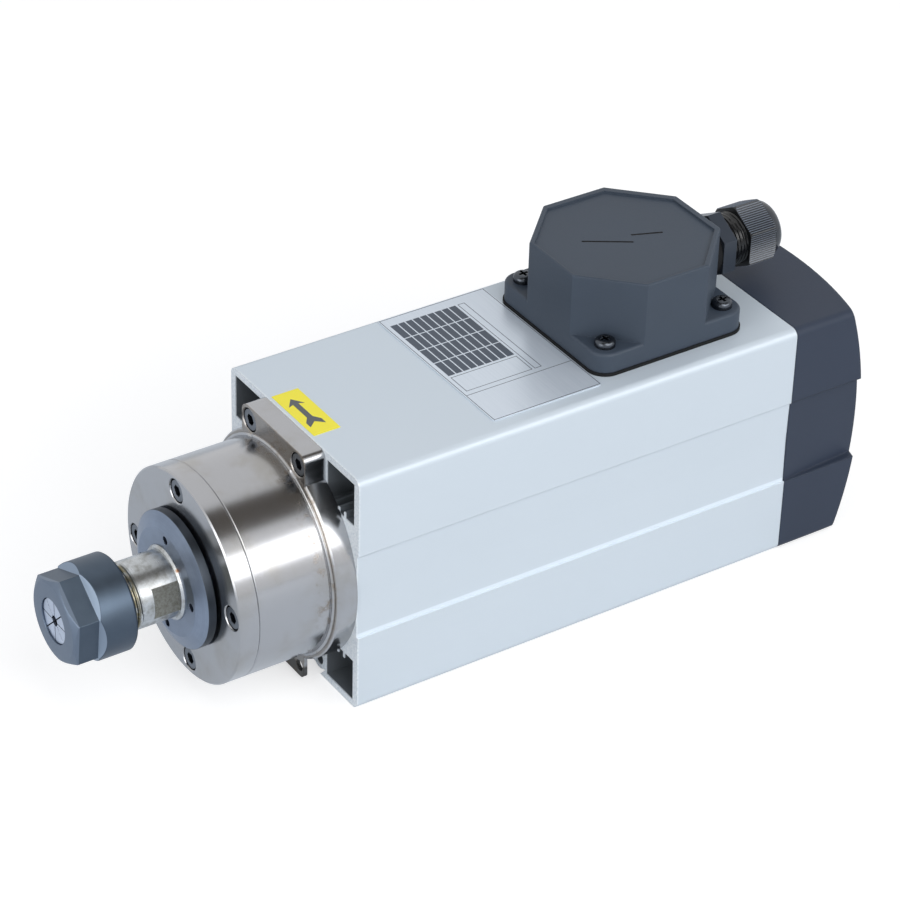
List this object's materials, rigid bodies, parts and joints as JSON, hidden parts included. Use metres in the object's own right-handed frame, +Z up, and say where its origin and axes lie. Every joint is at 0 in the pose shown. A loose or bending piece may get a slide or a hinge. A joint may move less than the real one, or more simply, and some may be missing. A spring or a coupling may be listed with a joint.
{
  "type": "motor spindle",
  "caption": "Square air-cooled milling spindle motor with a clamp-seat steel nose, collet nut, finned housing, rear fan cover and a top terminal box with cable gland.",
  "frame": {"origin": "on the spindle axis, at the collet's face", "axes": "+Y back along the spindle axis towards the fan, +Z up through the terminal box, +X to the right seen from the tool's side"},
  "size_m": [0.086, 0.3223, 0.1306],
  "materials": {
    "housing_aluminium": "satin anodised",
    "nose_steel": "ground and polished",
    "black_oxide_steel": "black oxide",
    "shaft_steel": "ground",
    "collet_steel": "hardened, dark",
    "bearing_steel": "polished",
    "cage_brass": "machined",
    "core_steel": "stacked plates",
    "copper": "enamelled wire",
    "cast_aluminium": "as cast",
    "black_plastic": "fine grain",
    "black_nylon": "moulded",
    "rubber": "matt",
    "screw_steel": "bright zinc",
    "block_plastic": "moulded",
    "brass_stud": "turned",
    "plate_aluminium": "brushed",
    "label_film": "printed film"
  },
  "bodies": {
    "housing": {"front_cover": "nose_steel", "front_cover_screws": "black_oxide_steel", "nose_housing": "nose_steel", "flange_screws": "black_oxide_steel", "front_bearing_outer_rings": "bearing_steel", "motor_housing": "housing_aluminium", "stator_core": "core_steel", "stator_windings": "copper", "rear_bearing_plate": "cast_aluminium", "rear_bearing_outer_rings": "bearing_steel", "preload_spring": "bearing_steel", "rear_plate_screws": "screw_steel", "fan_cover": "black_plastic", "fan_cover_screws": "screw_steel", "terminal_gasket": "rubber", "terminal_box": "black_plastic", "terminal_box_screws": "screw_steel", "terminal_block": "block_plastic", "terminal_studs": "brass_stud", "motor_leads": "label_film", "earth_screw": "brass_stud", "gland_body": "black_nylon", "gland_washer": "rubber", "gland_locknut": "black_nylon", "rating_plate": "plate_aluminium", "direction_label": "label_film"},
    "rotor": {"spindle_shaft": "shaft_steel", "dust_cap": "black_oxide_steel", "front_bearing_inner_rings": "bearing_steel", "rear_bearing_inner_rings": "bearing_steel", "rotor_core": "core_steel", "rotor_end_rings": "cast_aluminium", "cooling_fan": "black_nylon", "fan_circlip": "screw_steel"},
    "front_ball_rows": {"front_bearing_balls": "bearing_steel", "front_bearing_cages": "cage_brass"},
    "rear_ball_row": {"rear_bearing_balls": "bearing_steel", "rear_bearing_cages": "cage_brass"},
    "collet": {"collet": "collet_steel"},
    "collet_nut": {"collet_nut": "black_oxide_steel"},
    "gland_seal": {"gland_seal": "rubber"},
    "gland_nut": {"gland_nut": "black_nylon"}
  },
  "joints": [
    {"name": "rotor_spin", "type": "hinge", "parent": "housing", "child": "rotor", "pos_m": [0, 0, 0], "axis": [0, 1, 0], "continuous": true},
    {"name": "front_balls_roll", "type": "hinge", "parent": "housing", "child": "front_ball_rows", "pos_m": [0, 0, 0], "axis": [0, 1, 0], "continuous": true},
    {"name": "rear_balls_roll", "type": "hinge", "parent": "housing", "child": "rear_ball_row", "pos_m": [0, 0, 0], "axis": [0, 1, 0], "continuous": true},
    {"name": "collet_draw", "type": "slide", "parent": "rotor", "child": "collet", "axis": [0, -1, 0], "range_m": [0, 0.0091]},
    {"name": "nut_turn", "type": "hinge", "parent": "collet", "child": "collet_nut", "pos_m": [0, 0, 0], "axis": [0, -1, 0], "range_deg": [0, 2160]},
    {"name": "seal_draw", "type": "slide", "parent": "housing", "child": "gland_seal", "axis": [0, 1, 0], "range_m": [-0.0046, 0.0031]},
    {"name": "gland_nut_turn", "type": "hinge", "parent": "gland_seal", "child": "gland_nut", "pos_m": [0, 0.29, 0.066], "axis": [0, 1, 0], "range_deg": [-1080, 720]}
  ],
  "couplings": [
    {"joint": "front_balls_roll", "follows": "rotor_spin", "ratio": 0.415},
    {"joint": "rear_balls_roll", "follows": "rotor_spin", "ratio": 0.4},
    {"joint": "collet_draw", "follows": "nut_turn", "m_per_rad": 0.00023873},
    {"joint": "seal_draw", "follows": "gland_nut_turn", "m_per_rad": 0.00023873}
  ]
}
